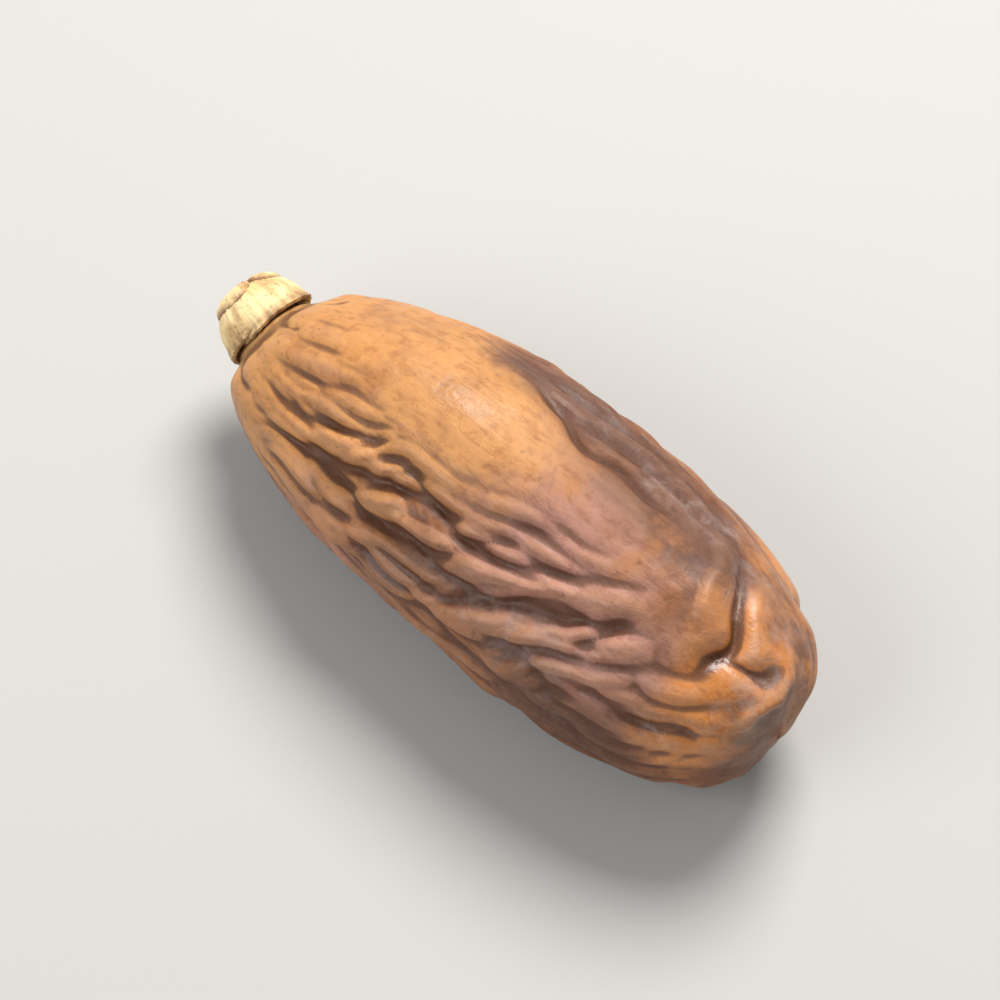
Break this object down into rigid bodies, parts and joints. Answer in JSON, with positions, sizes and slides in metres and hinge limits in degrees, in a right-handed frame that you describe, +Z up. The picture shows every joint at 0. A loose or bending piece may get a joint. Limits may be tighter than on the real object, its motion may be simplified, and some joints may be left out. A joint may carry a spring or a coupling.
{
  "type": "date fruit",
  "caption": "Dried date fruit lying on its side: blunt oval body with wrinkled, creased skin and a dry petalled calyx cap on the stalk end.",
  "frame": {"origin": "on the resting surface, under the middle of the object's box", "axes": "+X along the fruit from the calyx to the blossom tip, +Z up, square to the flat that it rests on"},
  "size_m": [0.0478, 0.0192, 0.018],
  "materials": {
    "date_skin": "wrinkled, translucent amber-brown skin with a dull mauve bloom and soft shine on the folds",
    "dry_calyx": "dry, fibrous, pale tan"
  },
  "bodies": {
    "root": {"date_fruit": "date_skin", "calyx_cap": "dry_calyx"}
  },
  "joints": []
}
